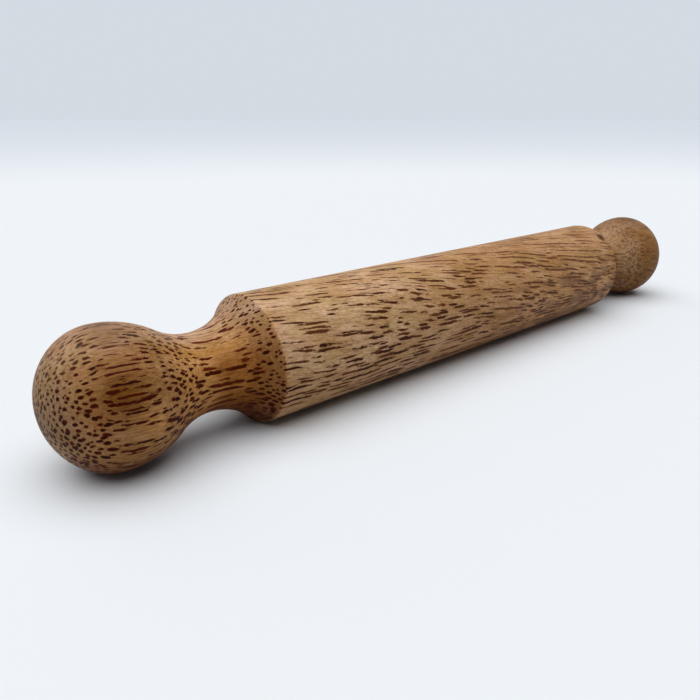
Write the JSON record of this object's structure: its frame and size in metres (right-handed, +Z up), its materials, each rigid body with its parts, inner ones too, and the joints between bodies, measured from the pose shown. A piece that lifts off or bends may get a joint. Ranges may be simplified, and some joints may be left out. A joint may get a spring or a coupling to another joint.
{
  "type": "rolling pin",
  "caption": "Solid turned wooden rolling pin: straight round barrel, coved shoulders, waisted necks and ball knobs at the ends, for rolling out dough.",
  "frame": {"origin": "under the middle of the pin's axis, on the surface that the pin lies on", "axes": "+X along the pin's axis, +Z up"},
  "size_m": [0.3434, 0.044, 0.044],
  "materials": {
    "palm_wood": "oiled satin, tan ground with dark red-brown fibres"
  },
  "bodies": {
    "root": {"turned_pin": "palm_wood"}
  },
  "joints": []
}
